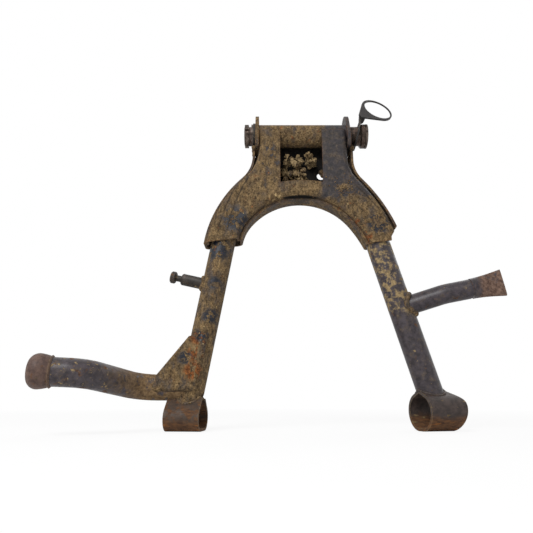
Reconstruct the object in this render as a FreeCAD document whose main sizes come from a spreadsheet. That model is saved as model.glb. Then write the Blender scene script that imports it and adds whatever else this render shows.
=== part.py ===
import FreeCAD, Part
import math
import os
import Sketcher

# Motorcycle centre stand, modelled with its legs down.
# X runs along the pivot axis, +Y is the front of the motorcycle, +Z is up.
# The origin is the middle of the pivot axis. Lengths are in millimetres, angles in degrees.

doc = FreeCAD.newDocument("centre_stand")
sheet = doc.addObject("Spreadsheet::Sheet", "dims")

driving_sizes = [
    # pivot
    ("tube_outer", 26.9), ("tube_wall", 1.95), ("cheek_centre", 54.25), ("cheek_thick", 4.0),
    ("cheek_half_width", 19.0), ("cheek_bottom", 21.2), ("cheek_foot_radius", 5.0),
    ("cheek_shoulder_drop", 4.0),
    ("cheek_lobe_radius", 20.5), ("cheek_lobe_forward", 9.0), ("cheek_lobe_rise", 9.0),
    ("running_clearance", 0.08), ("end_float", 0.3), ("sleeve_bore", 14.2),
    ("sleeve_left_reach", 13.3), ("sleeve_chamfer", 0.8), ("sleeve_right_reach", 14.0),
    ("head_outer", 28.6), ("head_thick", 5.4),
    ("head_groove_depth", 1.6), ("head_groove_width", 1.2),
    ("dust_ring_thick", 2.4), ("dust_ring_outer", 30.6), ("thrust_washer_thick", 2.2),
    ("thrust_washer_outer", 28.2), ("spring_ring_thick", 4.6), ("spring_ring_outer", 27.6),
    ("spring_ring_gap", 5.0), ("spring_ring_end", 0.6), ("seat_clearance", 0.05),
    ("end_washer_thick", 2.3), ("end_washer_outer", 28.9), ("end_washer_bore", 17.0),
    # pressed yoke
    ("sheet_thick", 2.5), ("neck_wrap", 3.15),
    ("left_neck_end", 31.2), ("left_neck_radius", 37.4), ("left_slope", 47.2),
    ("left_shoulder_radius", 137.0),
    ("right_neck_end", 36.2), ("right_neck_radius", 34.5), ("right_slope", 42.6),
    ("right_shoulder_radius", 190.0),
    ("arch_apex", 85.2), ("arch_offset", 3.8), ("arch_crown_radius", 73.1),
    ("left_crown_angle", 50.4), ("left_flank_radius", 49.2), ("left_flank_drop", 134.0),
    ("right_crown_angle", 52.4), ("right_flank_radius", 148.0), ("right_flank_drop", 139.5),
    ("left_arm_drop", 139.0),
    ("right_arm_drop", 136.0), ("right_cut_top", 118.0), ("right_cut_x", 96.5), ("right_cut_drop", 132.4),
    ("shell_top", 21.8), ("back_top", 4.0), ("rim_setback", 7.0), ("nest_gap", 0.4), ("right_seam_gap", 3.6),
    ("face_edge_radius", 6.0), ("shell_edge_radius", 6.0),
    ("face_flange", 13.0), ("face_top", 1.0),
    ("window_half", 24.6), ("window_shift", 2.4), ("window_bottom", 64.6), ("window_sill_drop", 2.2),
    ("drain_radius", 4.8), ("drain_x", 23.0), ("drain_drop", 46.0),
    # legs
    ("leg_outer", 26.9), ("leg_wall", 2.6), ("left_leg_angle", 10.3), ("right_leg_angle", 15.6),
    ("left_leg_root", 89.4), ("right_leg_root", 79.5), ("leg_root_drop", 120.0), ("leg_socket_depth", 23.0),
    ("leg_socket_clearance", 0.15),
    # feet
    ("foot_bottom", 340.0), ("foot_height", 41.5), ("foot_sheet", 3.0),
    ("left_foot_corner", 13.0), ("left_foot_flat", 9.5), ("left_foot_yaw", 6.0), ("left_foot_length", 36.5),
    ("left_foot_shift", 5.2),
    ("right_foot_corner", 19.0), ("right_foot_flat", 3.5), ("right_foot_yaw", 15.0),
    ("right_foot_length", 42.0), ("right_foot_shift", 7.1),
    ("foot_end_top", 13.0), ("foot_end_slant", 8.6), ("foot_end_corner", 2.4), ("foot_end_round", 8.2),
    ("foot_end_height", 7.8), ("foot_end_low", 8.2), ("foot_end_bow", 60.0),
    # pedal
    ("pedal_outer", 26.9), ("pedal_wall", 2.3), ("pedal_drop", 296.0), ("pedal_tilt", 9.3),
    ("pedal_first_bend", 176.0), ("pedal_second_bend", 212.0), ("pedal_second_reach", 70.0),
    ("pedal_end", 252.5), ("pedal_end_reach", 79.0), ("pedal_bend_radius", 32.0), ("cap_barrel", 40.0),
    ("cap_outer", 32.6), ("cap_length", 21.5), ("cap_dome", 9.5), ("cap_socket", 13.0), ("cap_lip", 2.4),
    ("cap_waist", 30.4),
    # gusset
    ("gusset_thick", 2.5), ("gusset_rise", 54.5), ("gusset_reach", 36.4), ("gusset_outer_rise", 11.5),
    ("gusset_foot_reach", 35.0), ("gusset_seam", 2.0), ("gusset_corner", 12.0), ("gusset_edge_radius", 1.9),
    # stop lever
    ("lever_outer", 22.2), ("lever_wall", 2.0), ("lever_drop", 210.9), ("lever_tilt", 47.0),
    ("lever_bend_x", 150.0), ("lever_bend_reach", 18.0), ("lever_end_x", 178.0), ("lever_end_reach", 24.7),
    ("lever_bend_radius", 90.0), ("blade_length", 33.5), ("blade_width", 28.8), ("blade_thick", 7.0),
    ("blade_edge", 0.35), ("blade_step", 0.08),
    # spring post
    ("post_drop", 186.3), ("post_tilt", 12.6), ("post_outer", 13.0), ("post_body", 24.0), ("post_neck", 7.0),
    ("post_neck_length", 6.4), ("post_head", 13.4), ("post_head_length", 6.0),
    ("post_chamfer", 1.2),
    # hose guide
    ("guide_thick", 1.8), ("guide_x", 66.2), ("guide_lean", 12.0), ("guide_eye_wall", 5.0),
    ("guide_eye_clearance", 0.9), ("guide_ring_x", 93.8), ("guide_ring_y", 0.2), ("guide_ring_z", 36.5),
    ("guide_hole", 34.8), ("guide_rim", 2.5), ("guide_heel_shift", 1.6), ("guide_stem_reach", 32.0),
    ("guide_stem_width", 9.0), ("guide_root_angle", 55.0), ("guide_normal_x", 0.278),
    ("guide_normal_y", -0.867), ("guide_normal_z", 0.411), ("guide_toward_x", -0.694),
    ("guide_toward_y", -0.478), ("guide_toward_z", -0.539),
]


class Size:
    """A number together with the sheet expression that it comes from."""

    def __init__(self, value, text):
        self.value = value
        self.text = text

    def __add__(self, other):
        other = plain(other)
        return Size(self.value + other.value, "(%s + %s)" % (self.text, other.text))

    def __sub__(self, other):
        other = plain(other)
        return Size(self.value - other.value, "(%s - %s)" % (self.text, other.text))

    def __mul__(self, other):
        other = plain(other)
        return Size(self.value * other.value, "(%s * %s)" % (self.text, other.text))

    def __truediv__(self, other):
        other = plain(other)
        return Size(self.value / other.value, "(%s / %s)" % (self.text, other.text))

    def __neg__(self):
        return Size(-self.value, "(0 - %s)" % self.text)


def plain(number):
    return number if isinstance(number, Size) else Size(float(number), "%.9g" % number)


def sine(angle):
    return Size(math.sin(math.radians(angle.value)), "sin(%s)" % angle.text)


def cosine(angle):
    return Size(math.cos(math.radians(angle.value)), "cos(%s)" % angle.text)


def root(square):
    return Size(math.sqrt(square.value), "sqrt(%s)" % square.text)


row = 0
for alias, number in driving_sizes:
    row += 1
    sheet.set("A%d" % row, alias)
    sheet.set("B%d" % row, str(number))
    sheet.setAlias("B%d" % row, alias)
doc.recompute()


def dim(alias):
    return Size(float(sheet.get(alias)), "dims.%s" % alias)


def bind(thing, prop, size):
    thing.setExpression(prop, plain(size).text)


# Sketch and feature helpers

def new_body(name):
    body = doc.addObject("PartDesign::Body", name)
    body.Label = name
    return body


def new_sketch(body, plane, name, offset=0.0):
    sketch = body.newObject("Sketcher::SketchObject", name)
    origin_plane = [item for item in body.Origin.OriginFeatures if item.Role == plane][0]
    sketch.AttachmentSupport = (origin_plane, [""])
    sketch.MapMode = "FlatFace"
    lift = FreeCAD.Vector(0, 0, plain(offset).value)
    sketch.AttachmentOffset = FreeCAD.Placement(lift, FreeCAD.Rotation())
    bind(sketch, "AttachmentOffset.Base.z", offset)
    return sketch


def constrain(sketch, size, *what):
    index = sketch.addConstraint(Sketcher.Constraint(*what, size.value))
    sketch.setExpression("Constraints[%d]" % index, size.text)


def arc_centre(start, end, radius, turn):
    """Centre of the short arc from start to end, turning left for +1 and right for -1."""
    chord = end - start
    reach = math.sqrt(max(radius * radius - chord.Length ** 2 / 4.0, 0.0))
    side = FreeCAD.Vector(-chord.y, chord.x, 0).normalize()
    return (start + end) * 0.5 + side * reach * turn


def outline(sketch, corners, closed=True):
    """Draw a chain of lines and arcs. A corner is (x, y), or (x, y, radius, turn) where an arc ends."""
    sizes = [tuple(plain(item) for item in corner[:2]) for corner in corners]
    points = [FreeCAD.Vector(x.value, y.value, 0) for x, y in sizes]
    first = 0 if closed else 1
    ends = []
    for index in range(first, len(corners)):
        corner = corners[index]
        start = points[index - 1]
        end = points[index]
        if len(corner) == 2:
            item = sketch.addGeometry(Part.LineSegment(start, end), False)
            ends.append((item, 1, 2))
            continue
        radius = plain(corner[2])
        centre = arc_centre(start, end, radius.value, corner[3])
        circle = Part.Circle(centre, FreeCAD.Vector(0, 0, 1), radius.value)
        angles = [math.atan2(point.y - centre.y, point.x - centre.x) for point in (start, end)]
        if corner[3] < 0:
            angles.reverse()
        if angles[1] < angles[0]:
            angles[1] += 2 * math.pi
        item = sketch.addGeometry(Part.ArcOfCircle(circle, angles[0], angles[1]), False)
        ends.append((item, 1, 2) if corner[3] > 0 else (item, 2, 1))
        constrain(sketch, radius, "Radius", item)
    for index, (item, head, tail) in enumerate(ends):
        x, y = sizes[index + first]
        constrain(sketch, x, "DistanceX", item, tail)
        constrain(sketch, y, "DistanceY", item, tail)
        if closed or index > 0:
            before = ends[index - 1]
            sketch.addConstraint(Sketcher.Constraint("Coincident", before[0], before[2], item, head))
    if not closed:
        constrain(sketch, sizes[0][0], "DistanceX", ends[0][0], ends[0][1])
        constrain(sketch, sizes[0][1], "DistanceY", ends[0][0], ends[0][1])


def circle(sketch, x, y, radius):
    x, y, radius = plain(x), plain(y), plain(radius)
    place = FreeCAD.Vector(x.value, y.value, 0)
    item = sketch.addGeometry(Part.Circle(place, FreeCAD.Vector(0, 0, 1), radius.value), False)
    constrain(sketch, x, "DistanceX", item, 3)
    constrain(sketch, y, "DistanceY", item, 3)
    constrain(sketch, radius, "Radius", item)


def pad(body, sketch, name, length, midplane=False, reverse=False):
    feature = body.newObject("PartDesign::Pad", name)
    feature.Profile = sketch
    feature.Length = plain(length).value
    feature.Midplane = midplane
    feature.Reversed = reverse
    bind(feature, "Length", length)
    return feature


def pocket(body, sketch, name, length, midplane=False, reverse=False):
    feature = body.newObject("PartDesign::Pocket", name)
    feature.Profile = sketch
    feature.Length = plain(length).value
    feature.Midplane = midplane
    feature.Reversed = reverse
    bind(feature, "Length", length)
    return feature


def revolve(body, sketch, name, axis="H_Axis"):
    feature = body.newObject("PartDesign::Revolution", name)
    feature.Profile = sketch
    feature.ReferenceAxis = (sketch, [axis])
    feature.Angle = 360
    return feature


# How near two places are read as the same
near_enough = 0.001


def edges_where(shape, test):
    return ["Edge%d" % (number + 1) for number, edge in enumerate(shape.Edges) if test(edge)]


def cut(name, base, *tools):
    for number, tool in enumerate(tools):
        last = number == len(tools) - 1
        feature = doc.addObject("Part::Cut", name if last else "%s_cut_%d" % (name, number))
        feature.Base = base
        feature.Tool = tool
        base = feature
    return base


def cylinder(name, radius, length, base, direction):
    rod = doc.addObject("Part::Cylinder", name)
    bind(rod, "Radius", radius)
    bind(rod, "Height", length)
    rod.Radius = plain(radius).value
    rod.Height = plain(length).value
    rod.Placement = FreeCAD.Placement(base, FreeCAD.Rotation(FreeCAD.Vector(0, 0, 1), direction))
    return rod


def vector(x, y, z):
    return FreeCAD.Vector(plain(x).value, plain(y).value, plain(z).value)


nodes = []


def node(feature, label):
    feature.Label = label
    nodes.append(feature)
    return feature


# Sizes that several pieces share

sheet_thick = dim("sheet_thick")
tube_radius = dim("tube_outer") / 2
bore_radius = tube_radius - dim("tube_wall")
sleeve_radius = bore_radius - dim("running_clearance")
cheek_inner = dim("cheek_centre") - dim("cheek_thick") / 2
cheek_outer = dim("cheek_centre") + dim("cheek_thick") / 2
leg_radius = dim("leg_outer") / 2
x_axis = FreeCAD.Vector(1, 0, 0)
z_axis = FreeCAD.Vector(0, 0, 1)


# Pivot tube and the two cheek plates at its ends

def make_cross_tube():
    body = new_body("cross_tube")
    ring = new_sketch(body, "YZ_Plane", "cross_tube_section")
    circle(ring, 0, 0, tube_radius)
    circle(ring, 0, 0, bore_radius)
    pad(body, ring, "cross_tube_pad", cheek_inner * 2, midplane=True)
    node(body, "cross_tube")


def tangent_normal(across, up, radius, turn):
    """Unit vector to where a line from a point touches a circle. The point is given from its centre."""
    squared = across * across + up * up
    reach = root(squared - radius * radius) * turn
    return (radius * across - reach * up) / squared, (radius * up + reach * across) / squared


def make_cheek(side, centre):
    """A plate round the cross tube, whose upper lobe leans to the front of the motorcycle."""
    label = side + "_cheek_plate"
    body = new_body(label)
    plate = new_sketch(body, "YZ_Plane", label + "_outline", centre - dim("cheek_thick") / 2)
    half = dim("cheek_half_width")
    foot = dim("cheek_foot_radius")
    low = -dim("cheek_bottom")
    lobe = dim("cheek_lobe_radius")
    lobe_y, lobe_z = dim("cheek_lobe_forward"), dim("cheek_lobe_rise")
    shoulder = -dim("cheek_shoulder_drop")
    rear_y, rear_z = tangent_normal(-half - lobe_y, shoulder - lobe_z, lobe, -1)
    front_y, front_z = tangent_normal(half - lobe_y, low + foot - lobe_z, lobe, 1)
    outline(plate, [
        (half, low + foot, foot, 1), (lobe_y + lobe * front_y, lobe_z + lobe * front_z),
        (lobe_y, lobe_z + lobe, lobe, 1), (lobe_y + lobe * rear_y, lobe_z + lobe * rear_z, lobe, 1),
        (-half, shoulder), (-half, low + foot), (foot - half, low, foot, 1), (half - foot, low),
    ])
    circle(plate, 0, 0, bore_radius)
    pad(body, plate, label + "_pad", dim("cheek_thick"))
    node(body, label)


make_cross_tube()
make_cheek("left", -dim("cheek_centre"))
make_cheek("right", dim("cheek_centre"))


# Outline of the pressed yoke, seen from behind the motorcycle. An inset moves it into the sheet.

neck_half = cheek_outer + dim("neck_wrap")


def shoulder(side, inset):
    """Where the neck bend meets the shoulder arc, and the radius of that arc."""
    slope = dim(side + "_slope")
    bend = dim(side + "_neck_radius")
    x = neck_half + bend * (plain(1) - cosine(slope)) - plain(inset) * cosine(slope)
    z = -dim(side + "_neck_end") - (bend + inset) * sine(slope)
    return x, z, dim(side + "_shoulder_radius") - inset


def shoulder_at(side, drop, inset):
    """Half width of the outer edge at a depth below the pivot."""
    x, z, radius = shoulder(side, inset)
    slope = dim(side + "_slope")
    rise = -plain(drop) - z + radius * sine(slope)
    return x - radius * cosine(slope) + root(radius * radius - rise * rise)


def neck_bend(side, inset, neck):
    """Height at which the straight neck ends, and the radius of the bend that follows it."""
    slope = dim(side + "_slope")
    x, z, radius = shoulder(side, inset)
    bend = (x - neck) / (plain(1) - cosine(slope))
    return z + bend * sine(slope), bend


def arch_side(side, inset):
    """Ends of the crown and the flank of the arch, measured from its middle, and the flank's radius."""
    angle = dim(side + "_crown_angle")
    crown = dim("arch_crown_radius")
    flank = dim(side + "_flank_radius")
    crown_top = -dim("arch_apex") - crown
    centre_x = (crown - flank) * sine(angle)
    centre_z = crown_top + (crown - flank) * cosine(angle)
    rise = -dim(side + "_flank_drop") - centre_z
    flank = flank + inset
    foot = centre_x + root(flank * flank - rise * rise)
    return (crown + inset) * sine(angle), crown_top + (crown + inset) * cosine(angle), foot, flank


def arch_corners(inset):
    """Left end of the arch, over the crown, to its right end, as outline corners."""
    left_x, left_z, left_foot, left_flank = arch_side("left", inset)
    right_x, right_z, right_foot, right_flank = arch_side("right", inset)
    middle = -dim("arch_offset")
    return [
        (middle - left_foot, -dim("left_flank_drop")),
        (middle - left_x, left_z, left_flank, -1),
        (middle + right_x, right_z, dim("arch_crown_radius") + inset, -1),
        (middle + right_foot, -dim("right_flank_drop"), right_flank, -1),
    ]


def yoke_outline(sketch, neck, top, left_inset, right_inset, arch_inset):
    """The whole closed edge of a pressing."""
    left_x, left_z, left_radius = shoulder("left", left_inset)
    right_x, right_z, right_radius = shoulder("right", right_inset)
    left_end, left_bend = neck_bend("left", left_inset, neck)
    right_end, right_bend = neck_bend("right", right_inset, neck)
    left_drop = dim("left_arm_drop")
    right_drop = dim("right_arm_drop")
    outline(sketch, [
        (neck, top),
        (-neck, top),
        (-neck, left_end),
        (-left_x, left_z, left_bend, -1),
        (-shoulder_at("left", left_drop, left_inset), -left_drop, left_radius, 1),
    ] + arch_corners(arch_inset) + [
        (shoulder_at("right", right_drop, right_inset), -right_drop),
        (right_x, right_z, right_radius, 1),
        (neck, right_end, right_bend, -1),
    ])


def trim_right_arm(body, name):
    """The right arm ends in a slanting cut."""
    trim = new_sketch(body, "XZ_Plane", name + "_outline")
    start_x = shoulder_at("right", dim("right_cut_top"), 0.0)
    margin = back_outer * 2
    end_x, end_z = dim("right_cut_x"), -dim("right_cut_drop")
    outline(trim, [
        (start_x, -dim("right_cut_top")), (end_x, end_z), (end_x, end_z - margin),
        (start_x + margin, end_z - margin), (start_x + margin, -dim("right_cut_top")),
    ])
    pocket(body, trim, name, back_outer * 4, midplane=True)


def along_depth(edge, depth):
    box = edge.BoundBox
    return abs(box.YMin - depth) < near_enough and abs(box.YMax - depth) < near_enough


def is_arc(edge):
    return hasattr(edge.Curve, "Radius")


back_outer = tube_radius + sheet_thick
rim_front = -(back_outer - dim("rim_setback"))
nest = sheet_thick + dim("nest_gap")
right_nest = sheet_thick + dim("right_seam_gap")
leg_top_drop = dim("left_arm_drop") - dim("leg_socket_depth")


def leg_direction(side):
    angle = math.radians(dim(side + "_leg_angle").value)
    across = -math.sin(angle) if side == "left" else math.sin(angle)
    return FreeCAD.Vector(across, 0, -math.cos(angle))


def leg_point(side, drop):
    """Point on the centre line of a leg at a depth below the pivot."""
    sign = -1 if side == "left" else 1
    direction = leg_direction(side)
    root_point = FreeCAD.Vector(sign * dim(side + "_leg_root").value, 0, -dim("leg_root_drop").value)
    return root_point + direction * ((root_point.z + plain(drop).value) / -direction.z)


def leg_rod(side, name, radius):
    top = leg_point(side, leg_top_drop)
    bottom = leg_point(side, dim("foot_bottom"))
    return cylinder(name, radius, (bottom - top).Length, top, leg_direction(side))


def open_faces(shape, depth):
    """The face at the given depth, and the flat ends of the arms and the neck."""
    names = []
    for number, face in enumerate(shape.Faces):
        if not isinstance(face.Surface, Part.Plane):
            continue
        normal = face.normalAt(0, 0)
        centre = face.CenterOfMass
        at_depth = abs(normal.y) > 0.99 and abs(centre.y - depth) < near_enough
        arm_end = abs(normal.y) < 0.01 and centre.z < -dim("left_flank_drop").value and normal.z < -0.5
        if at_depth or arm_end or (normal.z > 0.99 and abs(normal.y) < 0.01):
            names.append("Face%d" % (number + 1))
    return names


def hollow(body, name, base, faces):
    wall = body.newObject("PartDesign::Thickness", name)
    wall.Base = (base, faces)
    wall.Value = sheet_thick.value
    bind(wall, "Value", sheet_thick)
    wall.Reversed = True
    wall.Mode = 0
    wall.Join = 0
    return wall


def make_front_plate():
    body = new_body("front_plate_pressing")
    face = new_sketch(body, "XZ_Plane", "front_plate_outline", back_outer - dim("face_flange"))
    yoke_outline(face, cheek_inner, dim("face_top"), nest, right_nest, nest)
    block = pad(body, face, "front_plate_block", dim("face_flange"))
    doc.recompute()
    front = -back_outer.value
    rounded = body.newObject("PartDesign::Fillet", "front_plate_round")
    rounded.Base = (block, edges_where(block.Shape, lambda edge: along_depth(edge, front) and is_arc(edge)))
    bind(rounded, "Radius", dim("face_edge_radius"))
    rounded.Radius = dim("face_edge_radius").value
    doc.recompute()
    hollow(body, "front_plate_sheet", rounded, open_faces(rounded.Shape, front + dim("face_flange").value))
    doc.recompute()
    window = new_sketch(body, "XZ_Plane", "front_plate_window", back_outer - dim("face_flange"))
    left = -dim("window_half") - dim("window_shift")
    right = dim("window_half") - dim("window_shift")
    sill = -dim("window_bottom") - dim("window_sill_drop")
    half = dim("window_half")
    rise = dim("window_sill_drop")
    sill_radius = (half * half + rise * rise) / (rise * 2)
    above = dim("face_top") * 2
    outline(window, [(right, above), (left, above), (left, sill), (right, sill, sill_radius, -1)])
    pocket(body, window, "front_plate_notch", dim("face_flange") * 4, midplane=True)
    trim_right_arm(body, "front_plate_trim")
    return body


def make_rear_shell():
    body = new_body("rear_shell_pressing")
    back = new_sketch(body, "XZ_Plane", "rear_shell_outline", -back_outer)
    yoke_outline(back, neck_half, -dim("shell_top"), 0.0, 0.0, 0.0)
    block = pad(body, back, "rear_shell_block", back_outer - rim_front)
    doc.recompute()
    rear = back_outer.value
    rounded = body.newObject("PartDesign::Fillet", "rear_shell_round")
    rounded.Base = (block, edges_where(block.Shape, lambda edge: along_depth(edge, rear) and is_arc(edge)))
    bind(rounded, "Radius", dim("shell_edge_radius"))
    rounded.Radius = dim("shell_edge_radius").value
    doc.recompute()
    hollow(body, "rear_shell_sheet", rounded, open_faces(rounded.Shape, rim_front.value))
    doc.recompute()
    tongue = new_sketch(body, "XZ_Plane", "rear_shell_tongue", -back_outer)
    low = -dim("shell_top") - dim("shell_edge_radius")
    high = dim("back_top")
    outline(tongue, [(cheek_inner, high), (-cheek_inner, high), (-cheek_inner, low), (cheek_inner, low)])
    pad(body, tongue, "rear_shell_tongue_pad", sheet_thick)
    drain = new_sketch(body, "XZ_Plane", "rear_shell_drain", -back_outer)
    circle(drain, dim("drain_x"), -dim("drain_drop"), dim("drain_radius"))
    pocket(body, drain, "rear_shell_drain_hole", sheet_thick * 4, midplane=True)
    trim_right_arm(body, "rear_shell_trim")
    return body


def fit_tubes(pressing, label):
    """Trim a pressing to the cross tube and to the leg tubes that are welded into it."""
    radius = leg_radius + dim("leg_socket_clearance")
    rods = [leg_rod(side, "%s_%s_leg_room" % (label, side), radius) for side in ("left", "right")]
    start = vector(-cheek_inner, 0, 0)
    saddle = cylinder(label + "_saddle", tube_radius + dim("seat_clearance"), cheek_inner * 2, start, x_axis)
    node(cut(label, pressing, saddle, *rods), label)


fit_tubes(make_rear_shell(), "yoke_rear_shell")
fit_tubes(make_front_plate(), "yoke_front_plate")


# Feet: a strip of sheet rolled into a loop, its two ends meeting at the apex under the leg

def foot_outline(sketch, side, inset):
    corner = dim(side + "_foot_corner")
    flat = dim(side + "_foot_flat")
    radius = corner - inset
    middle_z = corner - dim("foot_bottom")
    apex_z = dim("foot_height") - dim("foot_bottom")
    side_y, side_z = tangent_normal(-flat, apex_z - middle_z, corner, -1)
    touch_y = flat + radius * side_y
    touch_z = middle_z + radius * side_z
    top_z = apex_z - plain(inset) / side_z
    low_z = middle_z - radius
    outline(sketch, [
        (0, top_z), (-touch_y, touch_z), (-flat - radius, middle_z, radius, 1), (-flat, low_z, radius, 1),
        (flat, low_z), (flat + radius, middle_z, radius, 1), (touch_y, touch_z, radius, 1),
    ])


def foot_body(side, name, hollowed):
    sign = -1 if side == "left" else 1
    body = new_body(name)
    loop = new_sketch(body, "YZ_Plane", name + "_section")
    foot_outline(loop, side, 0.0)
    if hollowed:
        foot_outline(loop, side, dim("foot_sheet"))
    pad(body, loop, name + "_pad", dim(side + "_foot_length"), midplane=True)
    turn = FreeCAD.Rotation(z_axis, sign * dim(side + "_foot_yaw").value)
    apex = leg_point(side, dim("foot_bottom") - dim("foot_height"))
    body.Placement = FreeCAD.Placement(vector(plain(apex.x) + dim(side + "_foot_shift") * sign, 0, 0), turn)
    return body


def round_foot_end(body, name):
    """The strip of the right foot has a slanting top and a bowed edge at its outer end."""
    trim = new_sketch(body, "XZ_Plane", name + "_outline")
    end = dim("right_foot_length") / 2
    apex_z = dim("foot_height") - dim("foot_bottom")
    slant_z = apex_z - dim("foot_end_slant")
    margin = dim("foot_sheet")
    low = end - dim("foot_end_low")
    top = end - dim("foot_end_top")
    bottom_z = -dim("foot_bottom")
    outline(trim, [
        (top, apex_z + margin), (top, apex_z), (end - dim("foot_end_corner"), slant_z),
        (end, slant_z - dim("foot_end_height"), dim("foot_end_round"), -1),
        (low, bottom_z, dim("foot_end_bow"), -1), (low, bottom_z - margin),
        (end + margin, bottom_z - margin), (end + margin, apex_z + margin),
    ])
    pocket(body, trim, name, (dim("right_foot_flat") + dim("right_foot_corner")) * 4, midplane=True)


def make_leg(side):
    """A leg tube, its lower end cut to sit over the apex of the foot."""
    top = leg_point(side, leg_top_drop)
    bottom = leg_point(side, dim("foot_bottom") - dim(side + "_foot_corner"))
    length = (bottom - top).Length
    outer = cylinder(side + "_leg_outside", leg_radius, length, top, leg_direction(side))
    inner = cylinder(side + "_leg_inside", leg_radius - dim("leg_wall"), length, top, leg_direction(side))
    foot = foot_body(side, side + "_foot_profile", False)
    node(cut(side + "_leg_tube", outer, inner, foot), side + "_leg_tube")


# Bent tubes

def rounded_path(points, radius):
    """Corners of a path whose inner points are rounded by arcs of one radius."""
    points = [(plain(x), plain(y)) for x, y in points]
    corners = [points[0]]
    for before, here, after in zip(points, points[1:], points[2:]):
        in_x, in_y = here[0] - before[0], here[1] - before[1]
        out_x, out_y = after[0] - here[0], after[1] - here[1]
        in_length = root(in_x * in_x + in_y * in_y)
        out_length = root(out_x * out_x + out_y * out_y)
        cosine_turn = (in_x * out_x + in_y * out_y) / (in_length * out_length)
        reach = plain(radius) * root((plain(1) - cosine_turn) / (cosine_turn + 1))
        left = in_x.value * out_y.value - in_y.value * out_x.value > 0
        corners.append((here[0] - in_x / in_length * reach, here[1] - in_y / in_length * reach))
        corners.append((here[0] + out_x / out_length * reach, here[1] + out_y / out_length * reach,
                        radius, 1 if left else -1))
    corners.append(points[-1])
    return corners


def tube_along(name, points, bend_radius, outer_radius, inner_radius, place):
    body = new_body(name)
    route = new_sketch(body, "XY_Plane", name + "_route")
    outline(route, rounded_path(points, bend_radius), closed=False)
    section = new_sketch(body, "YZ_Plane", name + "_section", points[0][0])
    circle(section, points[0][1], 0, outer_radius)
    circle(section, points[0][1], 0, inner_radius)
    doc.recompute()
    pipe = body.newObject("PartDesign::AdditivePipe", name + "_pipe")
    pipe.Profile = section
    pipe.Spine = (route, ["Edge%d" % (number + 1) for number in range(len(route.Shape.Edges))])
    pipe.Mode = "Frenet"
    body.Placement = place
    return body


pedal_turn = FreeCAD.Rotation(x_axis, -dim("pedal_tilt").value)
pedal_place = FreeCAD.Placement(vector(0, 0, -dim("pedal_drop")), pedal_turn)
pedal_radius = dim("pedal_outer") / 2


def make_pedal():
    start = plain(leg_point("left", dim("pedal_drop")).x)
    route = [
        (start, 0), (-dim("pedal_first_bend"), 0), (-dim("pedal_second_bend"), -dim("pedal_second_reach")),
        (-dim("pedal_end"), -dim("pedal_end_reach")),
    ]
    tube = tube_along("pedal_bent_tube", route, dim("pedal_bend_radius"), pedal_radius,
                      pedal_radius - dim("pedal_wall"), pedal_place)
    room = leg_rod("left", "pedal_leg_room", leg_radius)
    node(cut("pedal_tube", tube, room), "pedal_tube")


def make_pedal_cap():
    """A barrel-shaped end cap with a narrow lip, pushed over the end of the pedal tube."""
    body = new_body("pedal_end_cap")
    half = new_sketch(body, "XZ_Plane", "pedal_end_cap_section")
    socket = dim("cap_socket")
    tail = dim("cap_length") - socket
    belly = dim("cap_outer") / 2
    waist = dim("cap_waist") / 2
    hole = pedal_radius + dim("seat_clearance")
    dome = dim("cap_dome")
    lip = dim("cap_lip")
    outline(half, [
        (-tail, 0), (0, 0), (0, hole), (socket, hole), (socket, waist - lip / 2),
        (socket - lip / 2, waist), (socket - lip, waist - lip / 3),
        (dome - tail, belly, dim("cap_barrel"), 1), (-tail, belly - dome, dome, 1),
    ])
    revolve(body, half, "pedal_end_cap_turning")
    end = vector(-dim("pedal_end"), -dim("pedal_end_reach"), 0)
    run = end - vector(-dim("pedal_second_bend"), -dim("pedal_second_reach"), 0)
    yaw = math.degrees(math.atan2(-run.y, -run.x))
    body.Placement = pedal_place.multiply(FreeCAD.Placement(end, FreeCAD.Rotation(z_axis, yaw)))
    node(body, "pedal_end_cap")


def make_gusset(face, sign):
    """Flat plate tangent to the leg and the pedal tube, closing the corner between them."""
    label = face + "_gusset"
    body = new_body(label)
    lean = dim("left_leg_angle")
    seam = dim("gusset_seam")
    touch = root(leg_radius * leg_radius - seam * seam)
    near = touch if sign < 0 else -touch - dim("gusset_thick")
    plate = new_sketch(body, "XZ_Plane", label + "_outline", near)
    low = dim("pedal_drop") - seam
    top = dim("pedal_drop") - dim("gusset_rise")
    corner_x = plain(leg_point("left", dim("pedal_drop")).x)
    seam_top = plain(leg_point("left", top).x) - seam / cosine(lean)
    seam_low = plain(leg_point("left", low).x) - seam / cosine(lean)
    shoulder = seam_top - leg_radius + seam
    outline(plate, [
        (seam_top, -top), (shoulder, -top - seam),
        (corner_x - dim("gusset_reach"), dim("gusset_outer_rise") - dim("pedal_drop")),
        (corner_x - dim("gusset_foot_reach"), -low, dim("gusset_corner"), 1),
        (seam_low, -low),
    ])
    block = pad(body, plate, label + "_pad", dim("gusset_thick"))
    doc.recompute()
    outside = (touch + dim("gusset_thick")).value * sign

    def welded(edge):
        box = edge.BoundBox
        at_seam = box.ZMax < near_enough - low.value or box.XMax > seam_low.value - near_enough
        return along_depth(edge, outside) and edge.Length > leg_radius.value and at_seam

    worn = body.newObject("PartDesign::Fillet", label + "_worn_edge")
    worn.Base = (block, edges_where(block.Shape, welded))
    bind(worn, "Radius", dim("gusset_edge_radius"))
    worn.Radius = dim("gusset_edge_radius").value
    node(body, label)


# Stop lever: a bent tube whose end is beaten flat

lever_turn = FreeCAD.Rotation(x_axis, -dim("lever_tilt").value)
lever_place = FreeCAD.Placement(vector(0, 0, -dim("lever_drop")), lever_turn)


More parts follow.
